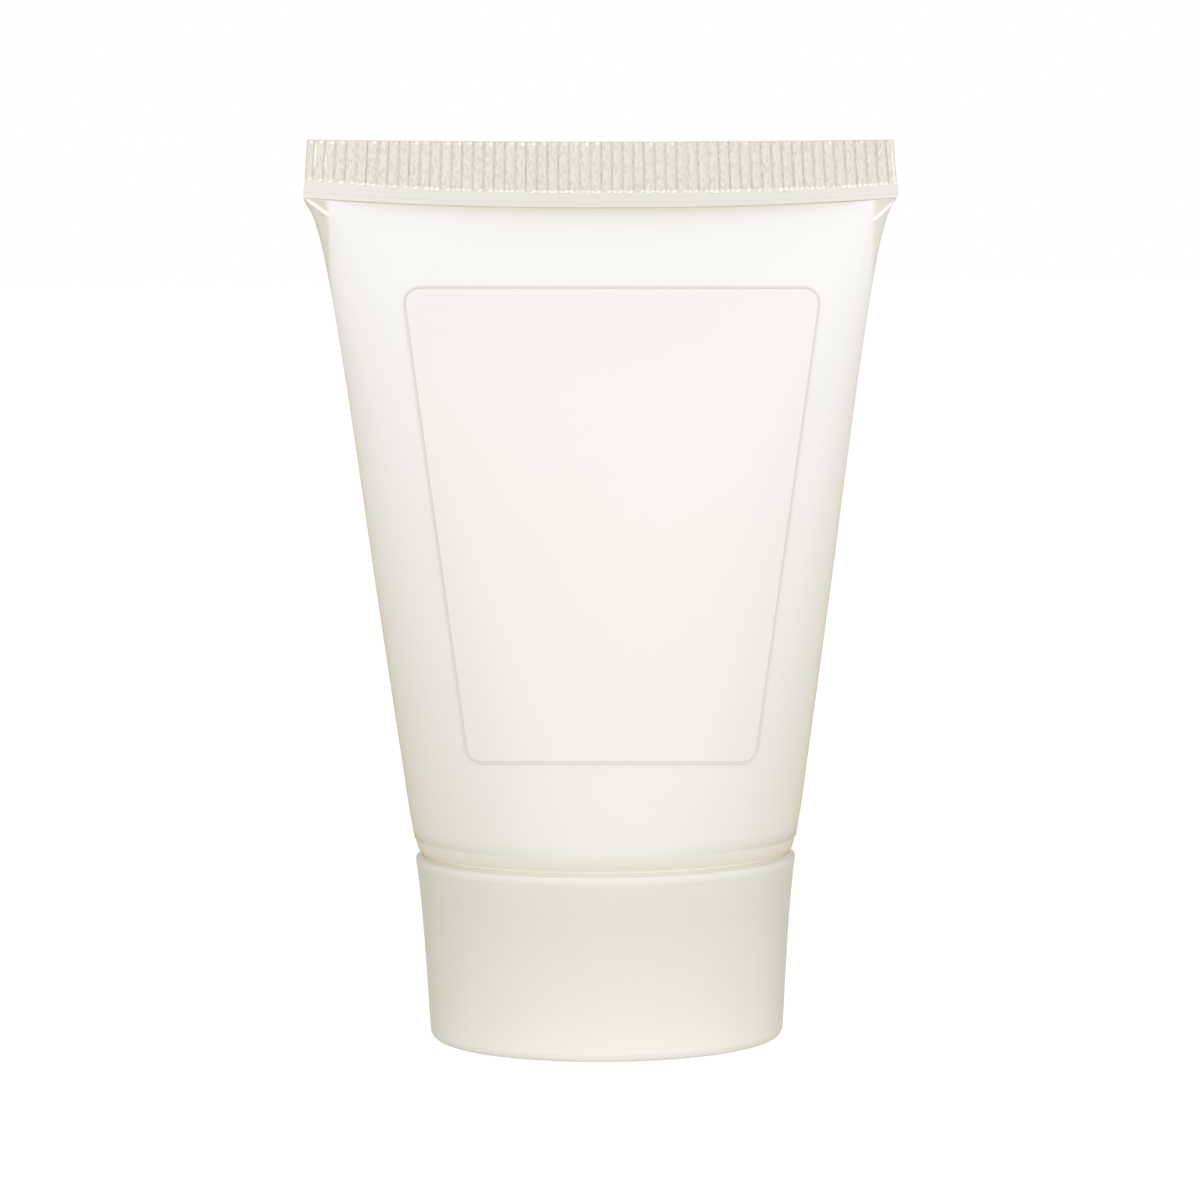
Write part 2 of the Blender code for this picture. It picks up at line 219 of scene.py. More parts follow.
# The neck and its thread
NECK_RADIUS = 7.4 * MM
NECK_WALL = 1.3 * MM
NECK_CHAMFER = 0.4 * MM
NECK_FILLET_RUN = 0.5 * MM
NECK_FILLET_DROP = 0.3 * MM
NECK_START = 0.4 * MM
THREAD_DEPTH = 0.8 * MM
THREAD_PITCH = 3.2 * MM
THREAD_GROOVE = 0.5 * MM
THREAD_CREST = (0.08, 0.3)
NECK_THREAD_LOW = (0.9 * MM, 1.7 * MM)
NECK_THREAD_HIGH = (1.9 * MM, 1.1 * MM)
SAME_RADIUS = 0.001 * MM
ORIFICE_RADIUS = 2.25 * MM
ORIFICE_EDGE = 0.15 * MM
ORIFICE_LAND = 1.1 * MM
SHOULDER_WALL = 1.2 * MM
SHOULDER_SLOPE = math.radians(20)
FLANGE_WALL = 0.9 * MM

# The lotion, which keeps clear of the walls, and the liner
CONTENT_GAP = 0.15 * MM
CONTENT_START = 0.4 * MM
CONTENT_TOP_GAP = 1.2 * MM
LINER_BEVEL = 0.15 * MM

# The label
LABEL_FILM = 0.1 * MM
LABEL_LIFT = 0.06 * MM
LABEL_CORNER = 1.65 * MM
LABEL_EDGE = 0.26 * MM
LABEL_TAPER_SHARE = 0.6802
LABEL_STRETCH = 1.0087
LABEL_OFFSET = (LABEL_LOW.x + LABEL_HIGH.x) / 2
LABEL_TILT = math.tan(math.radians(0.44))

# At the label's lower and upper edge: how far it sits off the middle, how far its arc sags at the
# sides, and its drop
LABEL_ENDS = (LABEL_LOW.z, LABEL_HIGH.z)
LABEL_SHIFTS = (-0.335 * MM, 0.055 * MM)
LABEL_SAGS = (1.94 * MM, 0.19 * MM)
LABEL_DROPS = (-0.1 * MM, 0.06 * MM)

# The label's rim: shares of the way in over its edge, and how grey it is there
LABEL_RIM = ((0.25, 0.3), (0.55, 0.65), (0.8, 1.0), (1.0, 1.0), (1.12, 0.25), (1.25, 0))
LABEL_CUT_SHARE = 0.6
LABEL_CUT_GREY = 0.1
LABEL_SPINE_SHARE = 0.35

# Facets
MERGE_DISTANCE = 0.0005 * MM
BODY_STEP = 3
COLUMNS = RIB_COUNT * len(RIB_COLUMNS)
ROUND_STEPS = 384
CONTENT_COLUMNS = 120
CONTENT_ROWS = 60
NECK_ROWS = 60
BORE_ROWS = 56
SKIRT_ROWS = 24
LABEL_COLUMNS = 360
LABEL_ROWS = 26
LABEL_CORNER_POINTS = 13
CURL_STEPS = 40
CAP_CORNER_STEPS = 12
FLANGE_STEPS = 10
FLANGE_INSIDE_STEPS = 6
LIP_NEST_STEPS = 5

# Rows on the sleeve's body: the inside's, and on the outside how far below the seam each band ends
# and how many rows it has
INSIDE_ROWS = 16
INSIDE_END_SHARE = 0.993
BODY_BANDS = ((8 * MM, 46), (3 * MM, 20), (0.4 * MM, 32))
LAST_BAND = 0.4 * MM
LAST_ROWS = 7

# Rows on the crimp: shares of the way from the seam to the ribs' feet, with the small folds there;
# millimetres above the feet; shares of the way on to the top; and (millimetres below it, bevel)
BAND_ROWS = (0.04, 0.09, 0.15, 0.22, 0.28, 0.34, 0.4, 0.47, 0.54, 0.6, 0.66, 0.73)
BAND_FOLDS = ((0.22, 0), (0.28, 0.03), (0.34, 0), (0.54, 0), (0.6, 0.02), (0.66, 0))
BAND_CORNER_SHARE = 0.2
FOOT_ROWS = (-0.34, -0.26, -0.19, -0.13, -0.07, -0.01, 0.05, 0.11, 0.17, 0.24, 0.32, 0.42, 0.56)
FOOT_FADE = (-0.16, 0.2)
RIB_ROWS = (0.12, 0.3, 0.5, 0.7, 0.84)
TOP_ROWS = ((0.5, 0), (0.38, 0), (0.28, 0), (0.18, 0), (0.1, 0.03), (0.04, 0.08), (0, 0.17))

# What differs from rib to rib, and where painted sparkles lie on the lip: at some places in front
# and random ones
FRONT_SPARKLES = np.radians([238.0, 240.5, 247.0, 250.5, 261.0])

chance = np.random.default_rng(30)
RIB_LEANS = chance.normal(0, 0.02, RIB_COUNT)
RIB_SIZES = chance.uniform(0.8, 1.08, RIB_COUNT)
RIB_SHADES = chance.uniform(0.65, 1.0, RIB_COUNT)
RISING_TICKS = chance.uniform(0.5, 1.3, RIB_COUNT).clip(0, 1) * np.linspace(1.0, 0.8, RIB_COUNT)
FALLING_TICKS = chance.uniform(-0.1, 1.2, RIB_COUNT).clip(0, 1) * np.linspace(0.6, 1.0, RIB_COUNT)
SPARKLES = np.concatenate([chance.uniform(0, 2 * math.pi, 22), FRONT_SPARKLES])
TOP_GLINTS = (chance.uniform(-0.5, 0.9, RIB_COUNT) + np.linspace(0.4, -0.3, RIB_COUNT)).clip(0, 1)


# Curves

def smooth_step(value, start, end):
    """0 below start, 1 above end, and a smooth rise between."""
    t = np.clip((value - start) / (end - start), 0, 1)
    return t * t * (3 - 2 * t)


def between(value, rise, fall):
    """A smooth rise from 0 to 1 over one span (start, end), and a fall back to 0 over another."""
    return smooth_step(value, *rise) * (1 - smooth_step(value, *fall))


def dab(away, power=4):
    """1 where away is 0 and almost nothing well past 1: flat on top by power 4, soft by power 2."""
    return np.exp(-(away**power))


def smooth_max(a, b, blend):
    """The larger of two values, rounded over where they meet."""
    return (a + b + np.sqrt((a - b) ** 2 + blend**2)) / 2 - blend / 2


def read_table(table, at):
    """A value read from (place, value) pairs, straight between them."""
    return np.interp(at, *np.array(table).T)


def curve_through(table, at):
    """A smooth monotone curve through (place, value) pairs, read at some places."""
    x, y = np.array(table).T
    step = np.diff(x)
    rise = np.diff(y) / step
    slope = np.zeros_like(x)
    same_way = rise[:-1] * rise[1:] > 0
    w1 = 2 * step[1:] + step[:-1]
    w2 = step[1:] + 2 * step[:-1]
    before = np.where(same_way, rise[:-1], 1)
    after = np.where(same_way, rise[1:], 1)
    slope[1:-1] = np.where(same_way, (w1 + w2) / (w1 / before + w2 / after), 0)
    slope[0] = rise[0]
    slope[-1] = rise[-1]
    at = np.clip(at, x[0], x[-1])
    i = np.clip(np.searchsorted(x, at, side="right") - 1, 0, len(step) - 1)
    t = (at - x[i]) / step[i]
    h00 = (1 + 2 * t) * (1 - t) ** 2
    h10 = t * (1 - t) ** 2
    h01 = t * t * (3 - 2 * t)
    h11 = t * t * (t - 1)
    return h00 * y[i] + h10 * step[i] * slope[i] + h01 * y[i + 1] + h11 * step[i] * slope[i + 1]


def closing_in(end, rows, power):
    """Shares from 0 towards 1, up to one near end, that stand closer and closer together."""
    return 1 - (1 - np.linspace(0, end, rows)) ** power


# Meshes

def mesh_object(name, points, faces, smooth_angle=35, marks=None):
    """An object from points and faces, turned outward; marks are shares kept at its points."""
    mesh = bpy.data.meshes.new(name)
    mesh.from_pydata(points.tolist(), [], faces)
    for mark, shares in (marks or {}).items():
        attribute = mesh.attributes.new(mark, "FLOAT", "POINT")
        attribute.data.foreach_set("value", np.clip(shares, 0, 1).astype(np.float32))
    bm = bmesh.new()
    bm.from_mesh(mesh)
    bmesh.ops.remove_doubles(bm, verts=bm.verts, dist=MERGE_DISTANCE)
    bmesh.ops.recalc_face_normals(bm, faces=bm.faces)
    bm.to_mesh(mesh)
    bm.free()
    mesh.shade_smooth()
    mesh.set_sharp_from_angle(angle=math.radians(smooth_angle))
    obj = bpy.data.objects.new(name, mesh)
    bpy.context.scene.collection.objects.link(obj)
    return obj


def ring_faces(rows, count, wrap_rows=False):
    """Faces between neighbouring rings of points."""
    index = np.arange(rows * count).reshape(rows, count)
    low, high = (index, np.roll(index, -1, axis=0)) if wrap_rows else (index[:-1], index[1:])
    quads = np.stack([low, np.roll(low, -1, axis=1), np.roll(high, -1, axis=1), high], axis=-1)
    return quads.reshape(-1, 4).tolist()


def side_to_side(first, count):
    """Faces that close one ring, whose first half runs along the front and the rest back again."""
    last = first + count - 1
    return [[first + i, first + i + 1, last - i - 1, last - i] for i in range(count // 2 - 1)]


def ring_of(x, front, back, z):
    """A ring of points, along the front from -X to +X and back again behind."""
    front = np.stack([x, -front, z + 0 * x], axis=-1)
    back = np.stack([x, back, z + 0 * x], axis=-1)
    return np.concatenate([front, back[::-1]])


def round_ring(shares, r, z):
    """A round ring of points, at shares of its radius from side to side."""
    x = shares * r
    y = np.sqrt(r * r - x * x)
    return ring_of(x, y, y, z)


def turned(name, profile, closed=False, swell=None, marks_at=None):
    """A turned piece from a profile of (r, z) points; swell(r, z, angle) moves points in or out.

    marks_at(r, z, angle) gives the shares that are kept at its points.
    """
    r, z = (line[:, None] for line in np.array(profile).T)
    angle = np.linspace(0, 2 * math.pi, ROUND_STEPS, endpoint=False)[None, :]
    radius = r + (swell(r, z, angle) if swell else 0) + 0 * angle
    points = np.stack([radius * np.cos(angle), radius * np.sin(angle), z + 0 * angle], axis=-1)
    faces = ring_faces(len(profile), ROUND_STEPS, wrap_rows=closed)
    marks = {}
    for mark, shares in (marks_at(r, z, angle) if marks_at else {}).items():
        marks[mark] = (shares + 0 * radius).ravel()
    return mesh_object(name, points.reshape(-1, 3), faces, marks=marks)


def arc(centre_r, centre_z, radius, start, end, steps):
    """Points (r, z) of an arc, with angles in radians from +r towards -z."""
    angles = [start + (end - start) * step / steps for step in range(steps + 1)]
    return [(centre_r + radius * math.cos(a), centre_z - radius * math.sin(a)) for a in angles]


def curl(radius, start, end, steps):
    """Points (r, z) on the curl of the sleeve's end, or on a surface that nests in it."""
    return arc(ARC_CENTRE_RADIUS, SHOULDER_Z, radius, start, end, steps)


# The sleeve's form

def half_width_at(z):
    """Half the sleeve's outline width at a height."""
    return curve_through(WIDTH_SHARES, (z - SHOULDER_Z) / SLEEVE_LENGTH) * SEAM_WIDEST


def half_depth_at(z):
    """Half the depth of the filled body at a height: round at the shoulder, flat in the seam."""
    share = np.clip((z - SHOULDER_Z) / SLEEVE_LENGTH, 0, 1)
    fall = (1 - share**DEPTH_SPREAD_POWER) ** DEPTH_ROUND_POWER
    return FIN_HALF_DEPTH + (TUBE_RADIUS - FIN_HALF_DEPTH) * fall


def core_half_width_at(z):
    """Half the width of the filled part, which stops widening below the seam's two corners."""
    return -smooth_max(-half_width_at(z), 0 * z - CORE_WIDTH_SHARE * SEAM_WIDEST, CORE_BLEND)


def depth_at(x, z, inset=0.0, edge=None):
    """How far the sleeve's front stands from the mid-plane at a place, set in from its outside.

    edge is half the outline's width, where it isn't the one at z.
    """
    half_width = (half_width_at(z) if edge is None else edge) - inset
    core = core_half_width_at(z) - inset
    filled = (half_depth_at(z) - inset) * np.sqrt(np.clip(1 - (x / core) ** 2, 0, 1))
    fin_share = smooth_step(z, SEAM_Z - FIN_START, SEAM_Z - FIN_FULL)
    thin = np.maximum(FIN_HALF_DEPTH * fin_share - inset, FIN_LEAST_DEPTH)
    end = np.clip((np.abs(x) - (half_width - thin)) / thin, 0, 1)
    return smooth_max(filled, thin * np.sqrt(1 - end**2), FIN_BLEND * fin_share)


def seam_line(side_share):
    """How far the seam's lower edge is above its lowest height."""
    sag = SEAM_SAG * np.abs(side_share) ** SEAM_SAG_POWER
    return sag - CRIMP_TILT * SEAM_WIDEST * side_share


def top_line(side_share):
    """The height of the crimp's trimmed top."""
    return TOP_Z - TOP_SAG * (1 - side_share**2) - CRIMP_TILT * SEAM_WIDEST * side_share


def rib_foot(side_share):
    """The height of the ribs' feet, which rises towards both ends."""
    most = np.where(side_share < 0, LEFT_FOOT_RISE, RIGHT_FOOT_RISE)
    rise = most * np.abs(side_share) ** RIB_FOOT_POWER
    return SEAM_Z + RIB_FOOT + rise - CRIMP_TILT * SEAM_WIDEST * side_share


def stroke(x, z, start, end, reach, blunt=False):
    """A stroke from one (x, z) point to another: 1 along its middle, 0 away from it.

    It tapers towards both ends, and a blunt one hardly towards its second.
    """
    along = np.array(end) - np.array(start)
    length = np.linalg.norm(along)
    along = along / length
    t = ((x - start[0]) * along[0] + (z - start[1]) * along[1]) / length
    away = (x - start[0]) * along[1] - (z - start[1]) * along[0]
    if blunt:
        taper = np.clip(t, 0, 1) ** BLUNT_POWER * (1 - smooth_step(t, *BLUNT_END))
    else:
        taper = np.sin(math.pi * np.clip(t, 0, 1)) ** 0.5
    return np.where(taper > 0, dab(away / (reach * np.maximum(taper, LEAST_TAPER))), 0)


def crease(x, z):
    """The crease near each end of the seam, from 0 to 1: it is raised, and painted white along it
    as a highlight.
    """
    strokes = []
    for crease_ends in CREASES:
        ends = [(share * SEAM_WIDEST, SEAM_Z + height) for share, height in crease_ends]
        strokes.append(stroke(x, z + CRIMP_TILT * x, *ends, CREASE_REACH, blunt=True))
    return np.maximum(*strokes)


def crease_lift(x, z):
    """How far the crease stands out, which dies away at the sleeve's very edge."""
    at_edge = smooth_step(np.abs(x) / half_width_at(z), *CREASE_EDGE)
    return CREASE_HEIGHT * crease(x, z) * (1 - at_edge)


def place_on_rib(x, z):
    """The width share and the rib at a place, and how far across the rib's pitch it is, 0 to 1."""
    side_share = np.clip(x / half_width_at(z), -1, 1)
    place = (np.interp(side_share, OWN_PLACES, EVEN_PLACES) + 1) / 2 * RIB_COUNT
    rib = np.clip(place.astype(int), 0, RIB_COUNT - 1)
    return side_share, rib, place - rib


def ticks(x, z):
    """The zigzag of small folds at the ribs' feet, from 0 to 1: they are raised, and painted white
    as highlights.
    """
    side_share, rib, across = place_on_rib(x, z)
    rise = z - rib_foot(side_share)
    levels = []
    for (start, end), reach, strengths in (
        (RISING_TICK, TICK_REACH, RISING_TICKS), (FALLING_TICK, -TICK_REACH, FALLING_TICKS)
    ):
        ends = ((start * RIB_PITCH, -reach), (end * RIB_PITCH, reach))
        levels.append(stroke(across * RIB_PITCH, rise, *ends, TICK_WIDTH) * strengths[rib])
    return np.maximum(*levels)


def painted_top_glints(x, z):
    """Painted glints: small light dots where some ribs end at the top, from 0 to 1."""
    side_share, rib, across = place_on_rib(x, z)
    below = top_line(side_share) - z
    away = np.hypot((across - DOT_PLACE) * RIB_PITCH, below - DOT_BELOW)
    return TOP_GLINTS[rib] * dab(away / DOT_RADIUS)


def painted_glints(x, z):
    """Painted glints: the bright streaks on the first few ribs, from 0 to 1."""
    side_share, rib, across = place_on_rib(x, z)
    below = top_line(side_share) - z
    level = np.zeros_like(z)
    for rib_number, place, start, end, strength in GLINTS:
        here = (rib == rib_number) * dab((across - place) / GLINT_WIDTH)
        first_fade = (start - GLINT_FADE, start + GLINT_FADE)
        last_fade = (end - GLINT_TAIL, end + GLINT_FADE)
        level = np.maximum(level, strength * here * between(below, first_fade, last_fade))
    return level


def painted_shade_between_ribs(x, z):
    """How much shade is painted on the plate between the smooth crests, from 0 to 1: least at the
    left.
    """
    side_share, rib, across = place_on_rib(x, z)
    start = read_table(SHADE_STARTS, side_share) + RIB_LEANS[rib]
    broad = between(across, (start - SHADE_SOFTNESS, start + SHADE_SOFTNESS), SHADE_END)
    line = dab((across - SHADE_LINE) / SHADE_LINE_WIDTH, 2) * RIB_SHADES[rib]
    cut_end = smooth_step(np.abs(side_share), *CUT_END)
    return np.maximum.reduce([SHADE_STRENGTH * broad, line, cut_end])


# The sleeve's mesh

def column_shares():
    """Places of the columns from side to side: spread round an oval, and set to the ribs."""
    steps = np.arange(COLUMNS + 1)
    oval = -np.cos(math.pi * (steps + BODY_STEP / 2) / (COLUMNS + BODY_STEP))
    places = [rib + share for rib in range(RIB_COUNT) for share in RIB_COLUMNS]
    places = np.array(places + [RIB_COUNT])
    leans = np.repeat(RIB_LEANS, len(RIB_COLUMNS)) * np.tile(np.array(RIB_COLUMNS) > 0, RIB_COUNT)
    even = 2 * (places + np.append(leans, 0)) / RIB_COUNT - 1
    return oval, np.interp(even, EVEN_PLACES, OWN_PLACES)


def body_rings():
    """Rings of the body: down its inside from its pinched top, round the curl, up to the seam."""
    oval, ribbed = (shares[::BODY_STEP] for shares in column_shares())

    def body_ring(height, inset=0.0):
        pull = smooth_step(height, SEAM_Z - SEAM_PULL, SEAM_Z)
        shares = oval * (1 - pull) + ribbed * pull
        z = height + seam_line(shares) * pull
        x = shares * (half_width_at(z) - inset)
        depth = depth_at(x, height + 0 * z, inset, half_width_at(z))
        if not inset:
            depth = depth + crease_lift(x, z)
        return ring_of(x, depth, depth, z)

    def curled_rings(inset):
        profile = curl(SHOULDER_ROUND - inset, SLEEVE_END_ANGLE, 0, CURL_STEPS)[:-1]
        return [round_ring(oval, r, z) for r, z in profile]

    inner = SHOULDER_Z + SLEEVE_LENGTH * closing_in(INSIDE_END_SHARE, INSIDE_ROWS, 1.6)
    rings = curled_rings(SLEEVE_WALL) + [body_ring(height, SLEEVE_WALL) for height in inner]
    rings = rings[::-1] + curled_rings(0)
    start = SHOULDER_Z
    for below, rows in BODY_BANDS:
        end = SEAM_Z - below
        rings += [body_ring(height) for height in np.linspace(start, end, rows)[:-1]]
        start = end
    last = SEAM_Z - LAST_BAND * (1 - np.linspace(0, 1, LAST_ROWS)) ** 2
    return rings + [body_ring(height) for height in last]


def crimp_rings():
    """Rings of the crimp, from just above the seam's lower edge, over the band and up the ribs."""
    ribbed = column_shares()[1]
    sizes = np.append(np.repeat(RIB_SIZES, len(RIB_COLUMNS)), 1)
    press = np.append(np.tile(RIB_PROFILE, RIB_COUNT), 0) * sizes
    seam = SEAM_Z + seam_line(ribbed)
    foot = rib_foot(ribbed)
    top = top_line(ribbed)
    rings = []

    def add(z, half_thickness, fade=0.0):
        x = ribbed * half_width_at(z)
        lift = crease_lift(x, z) + TICK_HEIGHT * ticks(x, z)
        relief = RIB_HEIGHT * (press - 0.5) * fade
        rings.append(ring_of(x, half_thickness + relief + lift, half_thickness - relief + lift, z))

    for share in BAND_ROWS:
        fold = read_table(BAND_FOLDS, share) * MM
        to_seam = 1 - smooth_step(share, 0.0, BAND_CORNER_SHARE)
        corner = (FIN_HALF_DEPTH - CRIMP_HALF_THICKNESS) * to_seam
        add(seam + (foot - seam) * share, CRIMP_HALF_THICKNESS - fold + corner)
    for rise in FOOT_ROWS:
        add(foot + rise * MM, CRIMP_HALF_THICKNESS, smooth_step(rise, *FOOT_FADE))
    start = foot + FOOT_ROWS[-1] * MM
    for share in RIB_ROWS:
        add(start + (top - start) * share, CRIMP_HALF_THICKNESS, 1.0)
    for below, bevel in TOP_ROWS:
        add(top - below * MM, CRIMP_HALF_THICKNESS - bevel * MM, 1.0)
    return rings


# Where the sleeve's tones and its painted light and shade change, each (start, end) from the place
# that its mark is measured from
CORNER_ACROSS = (-0.5 * MM, 0.3 * MM)
CORNER_UP = (SEAM_Z - 9 * MM, SEAM_Z - 6 * MM)
CORNER_TO_SEAM = (-0.3 * MM, 0.1 * MM)
# How strong the corners' darkness is from side to side: painted shade, full at the left and half at
# the right
CORNER_PAINTED_SHADES = ((-1, 1.0), (1, 0.5))
EMPTY_FROM_SEAM = (-0.15 * MM, 0.05 * MM)
RIBBED_FROM_FEET = (-0.1 * MM, 0.25 * MM)
OVER_HEAD = (SHOULDER_Z - 1.6 * MM, SHOULDER_Z + 0.9 * MM)
# Painted light in the crease where the sleeve meets the cap's lip, against the shade there
LIP_CREASE_LIGHT_SPAN = (CAP_HEIGHT + LIP_RISE, CAP_HEIGHT + LIP_RISE + 0.4 * MM)
# Painted light in the fold under the seam, against its shade: how far below the seam line, how
# wide, how strong, and where it fades at the sides
FOLD_BELOW = 0.13 * MM
FOLD_REACH = 0.17 * MM
FOLD_STRENGTH = 0.8
FOLD_SIDES = (0.72, 0.9)


def sleeve_marks(points):
    """Where the sleeve is empty, crimped or over the head, and where light and shade are painted on
    it: in its corners, between its ribs, as highlights, in the fold under the seam, by the lip, and
    lighter higher up.
    """
    x, y, z = points.T
    side_share = np.clip(x / half_width_at(z), -1, 1)
    above = z - SEAM_Z - seam_line(side_share)
    over_core = np.abs(x) - core_half_width_at(z)
    corner = smooth_step(over_core, *CORNER_ACROSS) * smooth_step(z, *CORNER_UP)
    # painted shade in the pinched corners, stronger at the left
    painted_side_shade = read_table(CORNER_PAINTED_SHADES, side_share)
    # painted light in the fold under the seam
    fold_painted_light = FOLD_STRENGTH * dab((above + FOLD_BELOW) / FOLD_REACH, 2)
    on_ribs = smooth_step(z - rib_foot(side_share), *RIBBED_FROM_FEET)
    return {
        "empty": np.maximum(corner, smooth_step(above, *EMPTY_FROM_SEAM)),
        "corner": painted_side_shade * corner * (1 - smooth_step(above, *CORNER_TO_SEAM)),
        "ribbed": on_ribs,
        # painted shade between the ribs
        "painted_groove_shade": on_ribs * painted_shade_between_ribs(x, z),
        # painted highlights on the creases, on the small folds at the ribs' feet and on the ribs
        "painted_highlight": np.maximum.reduce([crease(x, z), ticks(x, z), painted_top_glints(x, z), painted_glints(x, z)]),
        "over_head": 1 - smooth_step(z, *OVER_HEAD),
        "fold_painted_light": fold_painted_light * (1 - smooth_step(np.abs(side_share), *FOLD_SIDES)),
        # painted light in the crease by the cap's lip
        "lip_crease_painted_light": 1 - smooth_step(z, *LIP_CREASE_LIGHT_SPAN),
        # painted light: the sleeve is lighter and bluer towards its top, as if lit from above
        "height": (z - SHOULDER_Z) / SLEEVE_LENGTH,
    }


def make_sleeve():
    """The sleeve and its crimp, as one skin: coarse rings on the body and fine ones above."""
    body = np.array(body_rings())
    crimp = np.array(crimp_rings())
    coarse = body.shape[1]
    fine = crimp.shape[1]
    first_fine = body.shape[0] * coarse
    last_coarse = first_fine - coarse
    faces = ring_faces(len(body), coarse)
    faces += [[i + first_fine for i in face] for face in ring_faces(len(crimp), fine)]
    faces += side_to_side(0, coarse)
    faces += side_to_side(first_fine + (len(crimp) - 1) * fine, fine)
    for i in range(coarse // 2 - 1):
        steps = range(BODY_STEP + 1)
        front = ([i, i + 1], [BODY_STEP * i + k for k in steps])
        back = ([coarse - 1 - i, coarse - 2 - i], [fine - 1 - BODY_STEP * i - k for k in steps])
        for low, high in (front, back):
            faces.append([last_coarse + k for k in low] + [first_fine + k for k in reversed(high)])
    faces.append([last_coarse, first_fine, first_fine + fine - 1, last_coarse + coarse - 1])
    coarse_end = last_coarse + coarse // 2
    fine_end = first_fine + fine // 2
    faces.append([coarse_end - 1, coarse_end, fine_end, fine_end - 1])
    points = np.concatenate([body.reshape(-1, 3), crimp.reshape(-1, 3)])
    return mesh_object("sleeve_wall", points, faces, smooth_angle=60, marks=sleeve_marks(points))


# The head and the lotion

SLOPE = math.tan(SHOULDER_SLOPE)
FLANGE_ROUND = SHOULDER_ROUND - SLEEVE_WALL - FIT_GAP
HEAD_EDGE_ANGLE = SLEEVE_END_ANGLE + FIT_GAP / (SHOULDER_ROUND - SLEEVE_WALL / 2)
HEAD_EDGE = curl(SHOULDER_ROUND, HEAD_EDGE_ANGLE, HEAD_EDGE_ANGLE, 1)[0]
NECK_TIP = HEAD_LOW.z
NECK_ROOT = HEAD_EDGE[1] - (HEAD_EDGE[0] - NECK_RADIUS) * SLOPE
NECK_BORE = NECK_RADIUS - NECK_WALL
NECK_BORE_TOP = NECK_ROOT - NECK_WALL * SLOPE + SHOULDER_WALL / math.cos(SHOULDER_SLOPE)


def thread_wave(z, angle, phase=0.0):
    """A rounded thread's height share at a height and an angle."""
    turn = z / THREAD_PITCH - angle / (2 * math.pi) + phase
    away = np.abs((turn + 0.5) % 1 - 0.5)
    return 1 - smooth_step(away, *THREAD_CREST)


def make_head():
    """The moulded head, with its threaded neck and orifice."""

    def swell(r, z, angle):
        on_neck = np.abs(r - NECK_RADIUS) < SAME_RADIUS
        low_fade = [NECK_TIP + rise for rise in NECK_THREAD_LOW]
        high_fade = [NECK_ROOT - drop for drop in NECK_THREAD_HIGH]
        return THREAD_DEPTH * thread_wave(z, angle) * between(z, low_fade, high_fade) * on_neck

    neck_rows = np.linspace(NECK_ROOT - NECK_START, NECK_TIP + NECK_CHAMFER, NECK_ROWS)
    profile = curl(FLANGE_ROUND, 0, HEAD_EDGE_ANGLE, FLANGE_STEPS)
    profile.append(HEAD_EDGE)
    profile.append((NECK_RADIUS + NECK_FILLET_RUN, NECK_ROOT + NECK_FILLET_RUN * SLOPE))
    profile.append((NECK_RADIUS, NECK_ROOT - NECK_FILLET_DROP))
    profile += [(NECK_RADIUS, z) for z in neck_rows]
    profile += [(NECK_RADIUS - NECK_CHAMFER, NECK_TIP), (ORIFICE_RADIUS + ORIFICE_EDGE, NECK_TIP)]
    land_top = NECK_TIP + ORIFICE_LAND
    profile += [(ORIFICE_RADIUS, NECK_TIP + ORIFICE_EDGE), (ORIFICE_RADIUS, land_top)]
    profile += [(NECK_BORE, land_top), (NECK_BORE, NECK_BORE_TOP)]
    profile += curl(FLANGE_ROUND - FLANGE_WALL, HEAD_EDGE_ANGLE, 0, FLANGE_INSIDE_STEPS)
    return turned("moulded_head", profile, closed=True, swell=swell)


def make_contents():
    """The lotion, which fills the neck and the sleeve but not its two pinched corners."""
    shares = -np.cos(math.pi * (np.arange(CONTENT_COLUMNS) + 0.5) / CONTENT_COLUMNS)
    flange_inside = FLANGE_ROUND - FLANGE_WALL - CONTENT_GAP
    land_top = NECK_TIP + ORIFICE_LAND + CONTENT_GAP
    profile = [(ORIFICE_RADIUS - CONTENT_GAP, NECK_TIP + CONTENT_START)]
    profile += [(ORIFICE_RADIUS - CONTENT_GAP, land_top), (NECK_BORE - CONTENT_GAP, land_top)]
    profile += [(NECK_BORE - CONTENT_GAP, NECK_BORE_TOP + CONTENT_GAP)]
    profile += curl(flange_inside, HEAD_EDGE_ANGLE, 0, FLANGE_INSIDE_STEPS)
    profile.append((ARC_CENTRE_RADIUS + flange_inside, SHOULDER_Z + CONTENT_GAP))
    rings = [round_ring(shares, r, z) for r, z in profile]
    inset = SLEEVE_WALL + CONTENT_GAP
    length = SLEEVE_LENGTH - CONTENT_TOP_GAP
    for height in SHOULDER_Z + 2 * CONTENT_GAP + length * closing_in(1, CONTENT_ROWS, 1.5):
        x = shares * (core_half_width_at(height) - inset)
        y = (half_depth_at(height) - inset) * np.sqrt(1 - shares**2)
        rings.append(ring_of(x, y, y, height))
    rings = np.array(rings)
    count = rings.shape[1]
    faces = ring_faces(len(rings), count)
    faces += side_to_side(0, count) + side_to_side((len(rings) - 1) * count, count)
    return mesh_object("lotion_fill", rings.reshape(-1, 3), faces)


# The label

